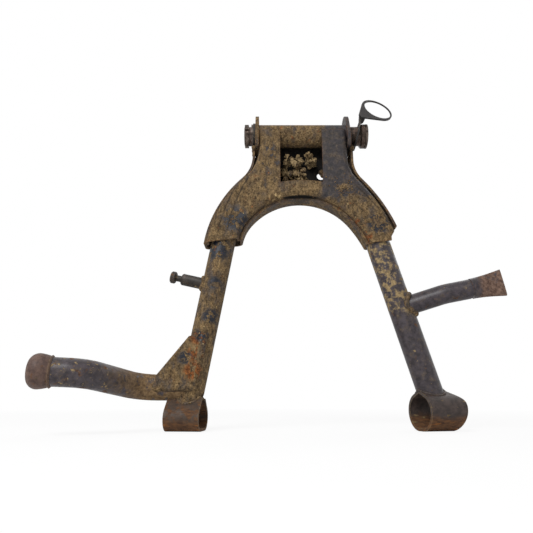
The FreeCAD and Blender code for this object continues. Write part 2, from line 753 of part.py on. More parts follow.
def ring_wire(centre, across, upward, half_across, half_up, squareness, count=24):
    """Closed smooth wire. A squareness of 1 is an ellipse, and smaller values flatten its sides."""
    points = []
    for step in range(count):
        angle = 2 * math.pi * step / count
        x, z = math.cos(angle), math.sin(angle)
        x = math.copysign(abs(x) ** squareness, x) * half_across
        z = math.copysign(abs(z) ** squareness, z) * half_up
        points.append(centre + across * x + upward * z)
    curve = Part.BSplineCurve()
    curve.interpolate(points, PeriodicFlag=True)
    return Part.Wire([curve.toShape()])


# How far along the beaten end, how much of its flattening and how much of its widening are reached
blade_stages = [(0.35, 0.45, 0.15), (0.65, 0.85, 0.5), (1.0, 1.0, 1.0)]


def make_lever():
    start = plain(leg_point("right", dim("lever_drop")).x)
    bend = (dim("lever_bend_x"), -dim("lever_bend_reach"))
    end = (dim("lever_end_x"), -dim("lever_end_reach"))
    radius = dim("lever_outer") / 2
    tube = tube_along("stop_lever_tube", [(start, 0), bend, end], dim("lever_bend_radius"), radius,
                      radius - dim("lever_wall"), lever_place)
    local_end = vector(end[0], end[1], 0)
    run = (local_end - vector(bend[0], bend[1], 0)).normalize()
    forward = lever_place.Rotation.multVec(run)
    origin = lever_place.multVec(local_end)
    across = forward.cross(FreeCAD.Vector(0, 1, 0)).cross(forward).normalize()
    upward = forward.cross(across)
    length = dim("blade_length").value
    half_thick, half_width = dim("blade_thick").value / 2, dim("blade_width").value / 2
    start_radius = radius.value - dim("blade_step").value
    sections = [ring_wire(origin, across, upward, start_radius, start_radius, 1.0)]
    for share, flattened, widened in blade_stages:
        thick = radius.value + (half_thick - radius.value) * flattened
        wide = radius.value + (half_width - radius.value) * widened
        squareness = 1 + (dim("blade_edge").value - 1) * widened
        centre = origin + forward * length * share
        sections.append(ring_wire(centre, across, upward, thick, wide, squareness))
    blade = doc.addObject("Part::Feature", "stop_lever_blade")
    blade.Shape = Part.makeLoft(sections, True, False)
    whole = doc.addObject("Part::Fuse", "stop_lever_whole")
    whole.Base = tube
    whole.Tool = blade
    room = leg_rod("right", "stop_lever_leg_room", leg_radius)
    node(cut("stop_lever", whole, room), "stop_lever")


def make_spring_post():
    body = new_body("spring_post_turned")
    half = new_sketch(body, "XZ_Plane", "spring_post_section")
    outer, head = dim("post_outer") / 2, dim("post_head") / 2
    neck, chamfer = dim("post_neck") / 2, dim("post_chamfer")
    shoulder = leg_radius + dim("post_body")
    collar = shoulder + dim("post_neck_length")
    tip = collar + dim("post_head_length")
    outline(half, [
        (0, 0), (tip, 0), (tip, head - chamfer), (tip - chamfer, head), (collar + chamfer, head),
        (collar, head - chamfer), (collar, neck), (shoulder, neck), (shoulder, outer - chamfer),
        (shoulder - chamfer, outer), (0, outer),
    ])
    revolve(body, half, "spring_post_turning")
    lean = FreeCAD.Rotation(FreeCAD.Vector(0, 1, 0), 180 + dim("post_tilt").value)
    body.Placement = FreeCAD.Placement(leg_point("left", dim("post_drop")), lean)
    room = leg_rod("left", "spring_post_leg_room", leg_radius)
    node(cut("spring_post", body, room), "spring_post")


# Pieces that stay with the motorcycle frame

head_start = cheek_outer + dim("sleeve_right_reach")
sleeve_left = -cheek_outer - dim("sleeve_left_reach")


def make_sleeve():
    body = new_body("pivot_sleeve")
    half = new_sketch(body, "XZ_Plane", "pivot_sleeve_section")
    bore = dim("sleeve_bore") / 2
    head = dim("head_outer") / 2
    head_end = head_start + dim("head_thick")
    groove = head_end - dim("head_groove_width")
    low = head - dim("head_groove_depth")
    edge = dim("sleeve_chamfer")
    outline(half, [
        (sleeve_left, bore), (head_end, bore), (head_end, low), (groove, low), (groove, head),
        (head_start + edge, head), (head_start, head - edge), (head_start, sleeve_radius),
        (sleeve_left + edge, sleeve_radius), (sleeve_left, sleeve_radius - edge),
    ])
    revolve(body, half, "pivot_sleeve_turning")
    node(body, "pivot_sleeve")


def make_ring(label, start, thick, outer_radius, inner_radius, slot=None):
    body = new_body(label)
    ring = new_sketch(body, "YZ_Plane", label + "_section", start)
    circle(ring, 0, 0, outer_radius)
    circle(ring, 0, 0, inner_radius)
    pad(body, ring, label + "_pad", thick)
    if slot is not None:
        gap = new_sketch(body, "YZ_Plane", label + "_slot", plain(start) + plain(thick) / 2)
        half = plain(slot) / 2
        reach = plain(outer_radius) + 1
        outline(gap, [(-reach, -half), (0, -half), (0, half), (-reach, half)])
        pocket(body, gap, label + "_gap", plain(thick) * 2, midplane=True)
    node(body, label)


def make_left_rings():
    hole = sleeve_radius + dim("seat_clearance")
    washer_right = -cheek_outer - dim("end_float") - dim("dust_ring_thick")
    make_ring("left_dust_ring", washer_right, dim("dust_ring_thick"), dim("dust_ring_outer") / 2, hole)
    make_ring("left_thrust_washer", washer_right - dim("thrust_washer_thick"), dim("thrust_washer_thick"),
              dim("thrust_washer_outer") / 2, hole)
    make_ring("left_spring_ring", sleeve_left + dim("spring_ring_end"), dim("spring_ring_thick"),
              dim("spring_ring_outer") / 2, hole, dim("spring_ring_gap"))
    make_ring("right_end_washer", head_start + dim("head_thick"), dim("end_washer_thick"),
              dim("end_washer_outer") / 2, dim("end_washer_bore") / 2)


def rectangle_wire(centre, wide, thin, width, thick):
    corners = ((1, 1), (-1, 1), (-1, -1), (1, -1))
    points = [centre + wide * (width / 2 * a) + thin * (thick / 2 * b) for a, b in corners]
    return Part.makePolygon(points + points[:1])


def spoon_plate(centre, normal, toward, thick):
    """Flat plate round a large and a small circle and the two lines that touch both."""
    side = normal.cross(toward).normalize()
    big = (dim("guide_hole") / 2 + dim("guide_rim")).value
    small = dim("guide_stem_width").value / 2
    big_centre = centre + toward * dim("guide_heel_shift").value
    small_centre = centre + toward * dim("guide_stem_reach").value
    lean = (big - small) / (small_centre - big_centre).Length
    spread = math.sqrt(1 - lean * lean)
    one, other = toward * lean + side * spread, toward * lean - side * spread
    big_one, big_other = big_centre + one * big, big_centre + other * big
    small_one, small_other = small_centre + one * small, small_centre + other * small
    edges = [
        Part.Arc(big_one, big_centre - toward * big, big_other).toShape(),
        Part.makeLine(big_other, small_other),
        Part.Arc(small_other, small_centre + toward * small, small_one).toShape(),
        Part.makeLine(small_one, big_one),
    ]
    face = Part.Face(Part.Wire(edges))
    face.translate(normal * (-thick / 2))
    return face.extrude(normal * thick)


def make_hose_guide():
    """A stamped strap: an eye hangs round the sleeve, a twisted stem rises from it to a wide ring."""
    thick = dim("guide_thick").value
    width = dim("guide_stem_width").value
    lean = math.radians(dim("guide_lean").value)
    eye_normal = FreeCAD.Vector(math.cos(lean), 0, -math.sin(lean))
    eye_centre = vector(dim("guide_x"), 0, 0)
    eye_inner = (sleeve_radius + dim("guide_eye_clearance")).value
    eye_outer = eye_inner + dim("guide_eye_wall").value
    eye = Part.makeCylinder(eye_outer, thick, eye_centre - eye_normal * (thick / 2), eye_normal)
    eye_start = eye_centre - eye_normal * (thick * 1.5)
    eye = eye.cut(Part.makeCylinder(eye_inner, thick * 3, eye_start, eye_normal))

    normal = vector(dim("guide_normal_x"), dim("guide_normal_y"), dim("guide_normal_z")).normalize()
    centre = vector(dim("guide_ring_x"), dim("guide_ring_y"), dim("guide_ring_z"))
    toward = vector(dim("guide_toward_x"), dim("guide_toward_y"), dim("guide_toward_z"))
    toward = (toward - normal * toward.dot(normal)).normalize()
    plate = spoon_plate(centre, normal, toward, thick)
    hole = dim("guide_hole").value / 2
    opening = Part.makeCylinder(hole, thick * 3, centre - normal * (thick * 1.5), normal)

    angle = math.radians(dim("guide_root_angle").value)
    upward = FreeCAD.Vector(math.sin(lean), 0, math.cos(lean))
    radial = upward * math.cos(angle) - FreeCAD.Vector(0, 1, 0) * math.sin(angle)
    root_point = eye_centre + radial * ((eye_inner + eye_outer) / 2)
    neck = centre + toward * dim("guide_stem_reach").value
    root_thin = eye_normal if eye_normal.dot(normal) > 0 else eye_normal * -1
    sections = []
    for share in (0.0, 0.5, 1.0):
        along = (radial * (1 - share) - toward * share).normalize()
        thin = root_thin * (1 - share) + normal * share
        wide = along.cross(thin).normalize()
        thin = wide.cross(along)
        sections.append(rectangle_wire(root_point * (1 - share) + neck * share, wide, thin, width, thick))
    stem = Part.makeLoft(sections, True, False)
    bore = Part.makeCylinder(eye_inner, width * 3, eye_centre - x_axis * (width * 1.5), x_axis)
    guide = doc.addObject("Part::Feature", "hose_guide")
    guide.Shape = eye.fuse([plate, stem.cut(bore)]).cut(opening).removeSplitter()
    node(guide, "hose_guide")


for side in ("left", "right"):
    make_leg(side)
make_pedal()
make_pedal_cap()
make_gusset("rear", -1)
make_gusset("front", 1)
make_lever()
make_spring_post()
make_sleeve()
make_left_rings()
make_hose_guide()

right_foot = foot_body("right", "right_foot_loop", True)
round_foot_end(right_foot, "right_foot_end_cut")
node(right_foot, "right_foot_loop")
left_foot = foot_body("left", "left_foot_strip", True)
room_start = plain(left_foot.Placement.Base.x) + dim("left_foot_length")
pedal_room = cylinder("left_foot_pedal_room", pedal_radius, dim("left_foot_length") * 2,
                      vector(room_start, 0, -dim("pedal_drop")), -x_axis)
node(cut("left_foot_loop", left_foot, pedal_room), "left_foot_loop")

doc.recompute()

faults = [item.Name for item in doc.Objects if "Invalid" in item.State or "Error" in item.State]
for feature in nodes:
    shape = feature.Shape
    if shape.isNull() or not shape.isValid():
        faults.append(feature.Label)
if faults:
    raise RuntimeError("these did not build: " + ", ".join(faults))

os.makedirs("parts", exist_ok=True)
for feature in nodes:
    feature.Shape.exportStep("parts/%s.step" % feature.Label)
    print("%-20s %d solid(s) %9.0f mm3" % (feature.Label, len(feature.Shape.Solids), feature.Shape.Volume))
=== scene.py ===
import math
import random

import bpy
from mathutils import Euler, Matrix, Vector


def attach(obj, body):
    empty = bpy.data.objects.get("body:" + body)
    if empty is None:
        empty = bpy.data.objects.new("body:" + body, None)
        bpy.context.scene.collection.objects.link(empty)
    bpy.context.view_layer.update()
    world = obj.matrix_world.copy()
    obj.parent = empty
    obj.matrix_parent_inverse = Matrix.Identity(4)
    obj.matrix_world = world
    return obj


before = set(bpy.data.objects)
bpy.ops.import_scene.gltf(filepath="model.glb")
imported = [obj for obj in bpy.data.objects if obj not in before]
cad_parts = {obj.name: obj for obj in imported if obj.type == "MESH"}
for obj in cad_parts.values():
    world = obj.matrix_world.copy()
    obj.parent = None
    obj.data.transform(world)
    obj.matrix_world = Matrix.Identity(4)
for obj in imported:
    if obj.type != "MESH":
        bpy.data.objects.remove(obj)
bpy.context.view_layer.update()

scene = bpy.context.scene
bpy.ops.object.select_all(action="DESELECT")
print("frame loaded:", len(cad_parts), "pieces")


# helpers for materials: places in metres, sizes of patterns in mm

def linear(hexColour):
    channels = [int(hexColour[start:start + 2], 16) / 255 for start in (1, 3, 5)]
    return [c / 12.92 if c <= 0.04045 else ((c + 0.055) / 1.055) ** 2.4 for c in channels] + [1.0]


def addNode(tree, kind, inputs=None, **settings):
    made = tree.nodes.new("ShaderNode" + kind)
    for name, value in settings.items():
        setattr(made, name, value)
    for name, value in (inputs or {}).items():
        if isinstance(value, bpy.types.NodeSocket):
            tree.links.new(value, made.inputs[name])
        else:
            made.inputs[name].default_value = value
    return made


def newSurface(name):
    # an empty material, its nodes, and the place on the piece
    material = bpy.data.materials.new(name)
    material.use_nodes = True
    tree = material.node_tree
    tree.nodes.clear()
    return material, tree, addNode(tree, "TexCoord").outputs["Object"]


def patches(tree, place, sizeMm, bare, full, seed, detail=6.0, roughness=0.62):
    # cloudy mask: 0 where the noise is under bare, 1 where it is over full
    cloud = addNode(tree, "TexNoise", {"Vector": place, "W": seed, "Scale": 1000 / sizeMm, "Detail": detail,
                                       "Roughness": roughness}, noise_dimensions="4D")
    return addNode(tree, "MapRange", {"Value": cloud.outputs["Fac"], "From Min": bare, "From Max": full},
                   interpolation_type="SMOOTHSTEP").outputs["Result"]


def times(tree, *masks):
    product = masks[0]
    for mask in masks[1:]:
        product = addNode(tree, "Math", {0: product, 1: mask}, operation="MULTIPLY").outputs[0]
    return product


def spread(tree, where, start, end):
    # 0 at start, 1 at end, along one coordinate
    return addNode(tree, "MapRange", {"Value": where, "From Min": start, "From Max": end},
                   interpolation_type="SMOOTHSTEP").outputs["Result"]


def between(tree, where, low, high, lowSoft, highSoft):
    # two masks that together keep what lies between two places on one coordinate
    return (spread(tree, where, low - lowSoft, low + lowSoft),
            spread(tree, where, high + highSoft, high - highSoft))


def near(tree, place, centre, radiusMm, softMm):
    # 1 close to a point seen from behind, 0 away from it
    flat = addNode(tree, "VectorMath", {0: place, 1: (1.0, 0.0, 1.0)}, operation="MULTIPLY").outputs["Vector"]
    away = addNode(tree, "VectorMath", {0: flat, 1: (centre[0], 0.0, centre[1])},
                   operation="DISTANCE").outputs["Value"]
    return spread(tree, away, (radiusMm + softMm) / 1000, (radiusMm - softMm) / 1000)


def edgeMask(tree, radiusMm):
    # 1 on outer edges, where a rounded normal leaves the true one
    rounded = addNode(tree, "Bevel", {"Radius": radiusMm / 1000}, samples=4).outputs["Normal"]
    true = addNode(tree, "NewGeometry").outputs["Normal"]
    agree = addNode(tree, "VectorMath", {0: rounded, 1: true}, operation="DOT_PRODUCT").outputs["Value"]
    return addNode(tree, "MapRange", {"Value": agree, "From Min": 0.985, "From Max": 0.8}).outputs["Result"]


def twoTone(tree, place, tones, sizeMm, seed):
    # a dusty colour that wanders between two tones
    mask = patches(tree, place, sizeMm, bare=0.34, full=0.66, seed=seed, detail=8.0, roughness=0.7)
    return addNode(tree, "Mix", {0: mask, 6: linear(tones[0]), 7: linear(tones[1])},
                   data_type="RGBA").outputs[2]


def tonedCoat(tree, place, tones, sizeMm, seed, roughness, height):
    return {"colour": twoTone(tree, place, tones, sizeMm, seed), "roughness": roughness, "height": height}


def layCoat(tree, under, over, mask):
    # one coat over another through a mask: colour, roughness and thickness together
    colour = addNode(tree, "Mix", {0: mask, 6: under["colour"], 7: over["colour"]}, data_type="RGBA").outputs[2]
    roughness = addNode(tree, "Mix", {0: mask, 2: under["roughness"], 3: over["roughness"]}).outputs[0]
    height = addNode(tree, "Mix", {0: mask, 2: under["height"], 3: over["height"]}).outputs[0]
    return {"colour": colour, "roughness": roughness, "height": height}


def finishSurface(tree, coat, bumpMm, metallic=0.0):
    # road dust on everything keeps the gloss low, so the specular level is under its usual 0.5
    bump = addNode(tree, "Bump", {"Height": coat["height"], "Distance": bumpMm / 1000, "Strength": 1.0})
    shader = addNode(tree, "BsdfPrincipled", {"Base Color": coat["colour"], "Roughness": coat["roughness"],
                                              "Metallic": metallic, "Normal": bump.outputs["Normal"],
                                              "Specular IOR Level": 0.32})
    addNode(tree, "OutputMaterial", {"Surface": shader.outputs["BSDF"]})


# Black enamel sprayed on pressed steel, years old, under splashed and dried road mud.
# The eye gets tan crust with dark pits, blue-black gaps in it and orange where the enamel has lifted; shade is
# painted dark along pressed valleys and in the hollow of the yoke.
mudCoats = {
    "paint": {"tones": ("#1b191c", "#352f32"), "sizeMm": 5.0, "height": 0.1},
    "dust": {"tones": ("#3a322b", "#625549"), "sizeMm": 7.0, "roughness": 0.75, "height": 0.25},
    "mud": {"tones": ("#4f402d", "#997f59"), "sizeMm": 3.6, "roughness": 0.95},
    "rust": {"tones": ("#5c3519", "#9c6030"), "sizeMm": 2.5, "roughness": 0.9, "height": 0.35},
    "fleck": {"tones": ("#0e1016", "#232632"), "sizeMm": 6.0, "roughness": 0.35, "height": 0.0},
    "pale": {"tones": ("#a0865c", "#c8ad7e"), "sizeMm": 3.0, "roughness": 0.95, "height": 0.95},
    # pitAndShade colours dark pits in the crust, and also the painted shade along pressed valleys
    "pitAndShade": {"tones": ("#241d16", "#3b3024"), "sizeMm": 2.6, "roughness": 0.9, "height": 0.0},
    # inside is painted shade: the near-black given to the hollow of the yoke
    "inside": {"tones": ("#0c0a08", "#1d1812"), "sizeMm": 5.0, "roughness": 0.9, "height": 0.3},
}
# how each coat breaks up: size of its patches, noise where it is bare and where it is full
mudPatches = {
    "grain": {"sizeMm": 3.6, "bare": 0.3, "full": 0.7, "seed": 8.4, "detail": 9.0, "roughness": 0.8},
    "thinner": {"sizeMm": 6.0, "bare": 0.42, "full": 0.70, "seed": 20.0},
    "pits": {"sizeMm": 3.4, "bare": 0.55, "full": 0.64, "seed": 17.0, "detail": 8.0, "roughness": 0.7},
    "stain": {"sizeMm": 4.0, "bare": 0.50, "full": 0.66, "seed": 27.0, "detail": 5.0},
    "pale": {"sizeMm": 4.0, "bare": 0.63, "full": 0.66, "seed": 15.0, "detail": 8.0},
    "edges": {"sizeMm": 5.0, "bare": 0.35, "full": 0.6, "seed": 16.0},
    "valleyShade": {"sizeMm": 9.0, "bare": 0.30, "full": 0.50, "seed": 19.0},
    "grit": {"sizeMm": 1.5, "bare": 0.34, "full": 0.60, "seed": 3.1, "detail": 4.0},
}
# how strongly these cover at their fullest
mudShares = {"pits": 0.6, "stain": 0.35, "edges": 0.7, "valleyShade": 0.85}
# crust is drawn out downwards a little and stains a lot; the cleaned corner has a wandering border
mudSizes = {
    "crustScale": (1.0, 1.0, 0.62), "streakScale": (1.0, 1.0, 0.16), "edgeMm": 1.2, "zoneSoft": 0.35,
    "grainRise": 0.6, "grainFloor": 0.3, "wanderScale": 90.0, "wanderX": 0.010, "wanderZ": 0.030,
    "cleanSoft": 0.004, "valleyHalfMm": 0.9, "valleySoftMm": 0.8, "valleyEnds": 0.006,
    "hollowShadeSoft": 0.001, "hollowShadeFarSoft": 0.0003, "stain": "#5a3f26", "grit": "#a39e96",
}


def mudCakedPaint(name, look):
    material, tree, place = newSurface(name)
    axes = addNode(tree, "SeparateXYZ", {"Vector": place}).outputs
    crusted = addNode(tree, "Mapping", {"Vector": place, "Scale": mudSizes["crustScale"]}).outputs["Vector"]
    streaked = addNode(tree, "Mapping", {"Vector": place, "Scale": mudSizes["streakScale"]}).outputs["Vector"]
    coats = {}
    for number, (kind, sizes) in enumerate(mudCoats.items()):
        pattern = crusted if kind == "mud" else place
        coats[kind] = dict(sizes, colour=twoTone(tree, pattern, sizes["tones"], sizes["sizeMm"], 1.0 + number))
    coats["paint"]["roughness"] = look["paintRoughness"]
    grain = patches(tree, place, **mudPatches["grain"])
    coats["mud"]["height"] = addNode(tree, "Math", {0: grain, 1: mudSizes["grainRise"],
                                                    2: mudSizes["grainFloor"]},
                                     operation="MULTIPLY_ADD").outputs[0]

    # held is 0 where mud has been knocked or washed off, right of one line and above another
    held = 1.0
    dusty = patches(tree, crusted, sizeMm=8.0, bare=look["dust"] - 0.06, full=look["dust"] + 0.06, seed=11.0)
    if look.get("cleanFrom"):
        fromX, fromZ = look["cleanFrom"]
        soft = mudSizes["cleanSoft"]
        wander = addNode(tree, "TexNoise", {"Vector": place, "Scale": mudSizes["wanderScale"],
                                            "Detail": 4.0}).outputs["Fac"]
        across = addNode(tree, "Math", {0: wander, 1: mudSizes["wanderX"], 2: axes["X"]},
                         operation="MULTIPLY_ADD").outputs[0]
        height = addNode(tree, "Math", {0: wander, 1: mudSizes["wanderZ"], 2: axes["Z"]},
                         operation="MULTIPLY_ADD").outputs[0]
        cleaned = times(tree, spread(tree, across, fromX, fromX + soft),
                        spread(tree, height, fromZ - soft, fromZ + soft))
        held = addNode(tree, "Math", {0: 1.0, 1: cleaned}, operation="SUBTRACT").outputs[0]
        thinner = patches(tree, place, **mudPatches["thinner"])
        dusty = times(tree, dusty, addNode(tree, "Math", {0: held, 1: thinner}, operation="MAXIMUM").outputs[0])
    coat = layCoat(tree, coats["paint"], coats["dust"], dusty)
    mudMask = patches(tree, crusted, sizeMm=look["mudSize"], bare=look["mud"] - 0.07, full=look["mud"] + 0.10,
                      seed=12.0, detail=10.0, roughness=0.68)
    coat = layCoat(tree, coat, coats["mud"], times(tree, mudMask, held))
    pits = times(tree, patches(tree, crusted, **mudPatches["pits"]), held, mudShares["pits"])
    coat = layCoat(tree, coat, coats["pitAndShade"], pits)
    stain = times(tree, patches(tree, streaked, **mudPatches["stain"]), held, mudShares["stain"])
    coat = layCoat(tree, coat, {"colour": linear(mudSizes["stain"]), "roughness": 0.9, "height": 0.4}, stain)

    for centreX, centreZ, radiusMm, kind, amount in look.get("zones", ()):
        zone = near(tree, place, (centreX, centreZ), radiusMm, radiusMm * mudSizes["zoneSoft"])
        ragged = patches(tree, crusted if kind == "rust" else place, sizeMm=6.0, bare=0.66 - amount,
                         full=0.70 - amount, seed=18.0 + radiusMm, detail=9.0)
        coat = layCoat(tree, coat, coats[kind], times(tree, zone, ragged))
    rustMask = patches(tree, place, sizeMm=7.0, bare=look["rust"], full=look["rust"] + 0.06, seed=14.0,
                       detail=9.0)
    coat = layCoat(tree, coat, coats["rust"], times(tree, rustMask, held))
    coat = layCoat(tree, coat, coats["pale"], times(tree, patches(tree, place, **mudPatches["pale"]), held))
    edges = times(tree, edgeMask(tree, mudSizes["edgeMm"]), patches(tree, place, **mudPatches["edges"]),
                  mudShares["edges"])
    coat = layCoat(tree, coat, coats["rust"], edges)

    for centreX, centreZ, radiusMm, low, high in look.get("valleyShadeArcs", ()):
        # painted shade: a pressed valley that follows the outline is coloured dark
        centre, half, soft = (centreX, centreZ), mudSizes["valleyHalfMm"], mudSizes["valleySoftMm"]
        inner = near(tree, place, centre, radiusMm - half, soft)
        outside = addNode(tree, "Math", {0: 1.0, 1: inner}, operation="SUBTRACT").outputs[0]
        ends = between(tree, axes["Z"], low, high, mudSizes["valleyEnds"], mudSizes["valleyEnds"])
        valleyShade = times(tree, near(tree, place, centre, radiusMm + half, soft), outside, *ends,
                       patches(tree, place, **mudPatches["valleyShade"]), mudShares["valleyShade"])
        coat = layCoat(tree, coat, coats["pitAndShade"], valleyShade)
    # painted shade: the hollow of the yoke is coloured near-black through a box mask
    if look.get("paintedHollowShade"):
        low, high = look["paintedHollowShade"]
        soft, farSoft = mudSizes["hollowShadeSoft"], mudSizes["hollowShadeFarSoft"]
        hollowShade = times(tree, *between(tree, axes["X"], low[0], high[0], soft, soft),
                     *between(tree, axes["Z"], low[2], high[2], soft, soft),
                     *between(tree, axes["Y"], low[1], high[1], soft, farSoft))
        coat = layCoat(tree, coat, coats["inside"], hollowShade)

    # fine grit darkens the crust between its grains
    grit = patches(tree, place, **mudPatches["grit"])
    shade = addNode(tree, "Mix", {0: grit, 6: linear(mudSizes["grit"]), 7: linear("#ffffff")},
                    data_type="RGBA").outputs[2]
    coat["colour"] = addNode(tree, "Mix", {0: 1.0, 6: coat["colour"], 7: shade}, data_type="RGBA",
                             blend_type="MULTIPLY").outputs[2]
    finishSurface(tree, coat, look["bumpMm"])
    return material


# The same sprayed enamel where little mud has stuck: the eye gets a semi-gloss grey-black with a haze of dust,
# tan specks and brown scuffs, and a dried splash where the look gives one.
splashSizes = {"outside": 0.012, "inside": 0.006}  # how softly the splash ends, past and within its two heights


def wornBlackPaint(name, look):
    material, tree, place = newSurface(name)
    axes = addNode(tree, "SeparateXYZ", {"Vector": place}).outputs
    paint = tonedCoat(tree, place, look["paint"], sizeMm=6.0, seed=1.5, roughness=look["roughness"], height=0.5)
    haze = tonedCoat(tree, place, ("#3d342f", "#5b4f46"), sizeMm=4.0, seed=2.5, roughness=0.5, height=0.55)
    brown = tonedCoat(tree, place, ("#3a281d", "#6b4c33"), sizeMm=3.0, seed=3.5, roughness=0.85, height=0.6)
    mud = tonedCoat(tree, place, ("#65563f", "#a48d66"), sizeMm=3.0, seed=4.5, roughness=0.95, height=1.0)
    coat = layCoat(tree, paint, haze, patches(tree, place, sizeMm=7.0, bare=0.50, full=0.66, seed=21.0,
                                              detail=8.0, roughness=0.7))
    coat = layCoat(tree, coat, brown, patches(tree, place, sizeMm=8.0, bare=look["brown"],
                                              full=look["brown"] + 0.08, seed=22.0, detail=9.0))
    coat = layCoat(tree, coat, mud, patches(tree, place, sizeMm=4.5, bare=look["mud"], full=look["mud"] + 0.04,
                                            seed=23.0, detail=7.0))
    if look.get("muddyRun"):
        low, high = look["muddyRun"]
        rise = spread(tree, axes["Z"], low - splashSizes["outside"], low + splashSizes["inside"])
        fall = spread(tree, axes["Z"], high + splashSizes["outside"], high - splashSizes["inside"])
        splash = patches(tree, place, sizeMm=8.0, bare=0.475, full=0.56, seed=24.0, detail=10.0, roughness=0.7)
        coat = layCoat(tree, coat, mud, times(tree, rise, fall, splash))
    if look.get("mudPast"):
        # splashed on from one side, thinning out towards the other
        splash = patches(tree, place, sizeMm=9.0, bare=0.40, full=0.48, seed=26.0, detail=10.0, roughness=0.7)
        past = times(tree, spread(tree, axes["X"], *look["mudPast"]), splash)
        brownMud = tonedCoat(tree, place, look["pastTones"], sizeMm=3.0, seed=5.5, roughness=0.95, height=0.9)
        coat = layCoat(tree, coat, brownMud, past)
    scuffs = patches(tree, place, sizeMm=5.0, bare=0.35, full=0.55, seed=25.0)
    coat = layCoat(tree, coat, brown, times(tree, edgeMask(tree, radiusMm=1.0), scuffs))
    finishSurface(tree, coat, bumpMm=0.25)
    return material


# Rolled strip steel that drags on the road: the eye gets brown rust below a greyed upper skin, scratched along
# the ground, with soil in its corners.
footSizes = {"wanderScale": 60.0, "wanderZ": 0.014, "scratchScale": (0.35, 1.0, 1.6),
             "rustFull": 0.002, "rustEnd": 0.010}


def scrapedFootSteel(name, look):
    material, tree, place = newSurface(name)
    axes = addNode(tree, "SeparateXYZ", {"Vector": place}).outputs
    wander = addNode(tree, "TexNoise", {"Vector": place, "Scale": footSizes["wanderScale"],
                                        "Detail": 5.0}).outputs["Fac"]
    height = addNode(tree, "Math", {0: wander, 1: footSizes["wanderZ"], 2: axes["Z"]},
                     operation="MULTIPLY_ADD").outputs[0]
    low = spread(tree, height, look["rustTop"] + footSizes["rustEnd"], look["rustTop"] + footSizes["rustFull"])
    scratched = addNode(tree, "Mapping", {"Vector": place,
                                          "Scale": footSizes["scratchScale"]}).outputs["Vector"]
    skin = tonedCoat(tree, place, look["skin"], sizeMm=6.0, seed=1.2, roughness=0.55, height=0.5)
    rust = tonedCoat(tree, scratched, ("#38251a", "#6b4a2e"), sizeMm=3.0, seed=2.2, roughness=0.85, height=0.6)
    bright = tonedCoat(tree, scratched, ("#5f3b1f", "#8f5c2c"), sizeMm=2.0, seed=3.2, roughness=0.9, height=0.7)
    soil = tonedCoat(tree, place, ("#54452f", "#877250"), sizeMm=3.0, seed=4.2, roughness=0.95, height=1.0)
    coat = layCoat(tree, skin, rust, low)
    coat = layCoat(tree, coat, rust, patches(tree, place, sizeMm=7.0, bare=look["spots"],
                                             full=look["spots"] + 0.1, seed=31.0, detail=9.0))
    fresh = patches(tree, scratched, sizeMm=5.0, bare=0.56, full=0.64, seed=32.0)
    coat = layCoat(tree, coat, bright, times(tree, low, fresh))
    coat = layCoat(tree, coat, soil, patches(tree, scratched, sizeMm=6.0, bare=look["soil"],
                                             full=look["soil"] + 0.06, seed=33.0, detail=8.0))
    rubbed = patches(tree, place, sizeMm=4.0, bare=0.3, full=0.5, seed=34.0)
    coat = layCoat(tree, coat, soil, times(tree, edgeMask(tree, radiusMm=1.2), rubbed))
    finishSurface(tree, coat, bumpMm=0.3)
    return material


# Turned steel that was greased and has gone brown: the eye gets glossy bands round it, worn bright at the rims.
# The bands are drawn coarser than tool marks are, so that they show.
turningScale = (1.0, 0.08, 0.08)


def brownedTurnedSteel(name, look):
    material, tree, place = newSurface(name)
    rings = addNode(tree, "Mapping", {"Vector": place, "Scale": turningScale}).outputs["Vector"]
    steel = tonedCoat(tree, rings, look["steel"], sizeMm=1.5, seed=1.1, roughness=look["roughness"], height=0.5)
    grime = tonedCoat(tree, place, ("#1b1511", "#3a2e25"), sizeMm=4.0, seed=2.1, roughness=0.7, height=0.7)
    worn = {"colour": linear("#b9ab97"), "roughness": 0.3, "height": 0.45}
    coat = layCoat(tree, steel, grime, patches(tree, place, sizeMm=6.0, bare=0.46, full=0.60, seed=41.0,
                                               detail=7.0))
    rubbed = patches(tree, place, sizeMm=4.0, bare=0.5, full=0.62, seed=42.0)
    coat = layCoat(tree, coat, worn, times(tree, edgeMask(tree, radiusMm=0.5), rubbed))
    finishSurface(tree, coat, bumpMm=0.12, metallic=look["metallic"])
    return material


# Moulded rubber ring: the eye gets a matt near-black, dull with dust.
def dustyRubber(name):
    material, tree, place = newSurface(name)
    rubber = tonedCoat(tree, place, ("#181715", "#2b2825"), sizeMm=3.0, seed=1.0, roughness=0.7, height=0.5)
    dust = {"colour": linear("#5c5043"), "roughness": 0.95, "height": 0.7}
    coat = layCoat(tree, rubber, dust, patches(tree, place, sizeMm=3.0, bare=0.52, full=0.66, seed=51.0))
    finishSurface(tree, coat, bumpMm=0.15)
    return material


# Zinc-plated strip, stamped, gone dark: the eye gets a thin black strap that gleams a little on its rim.
def dulledStrap(name):
    material, tree, place = newSurface(name)
    plate = tonedCoat(tree, place, ("#171516", "#2f2b29"), sizeMm=4.0, seed=1.3, roughness=0.58, height=0.5)
    dust = tonedCoat(tree, place, ("#5d5345", "#7d7262"), sizeMm=3.0, seed=2.3, roughness=0.85, height=0.7)
    bright = {"colour": linear("#a19d93"), "roughness": 0.35, "height": 0.4}
    coat = layCoat(tree, plate, dust, patches(tree, place, sizeMm=5.0, bare=0.58, full=0.70, seed=61.0))
    rubbed = patches(tree, place, sizeMm=6.0, bare=0.50, full=0.62, seed=62.0)
    coat = layCoat(tree, coat, bright, times(tree, edgeMask(tree, radiusMm=0.5), rubbed))
    finishSurface(tree, coat, bumpMm=0.12)
    return material


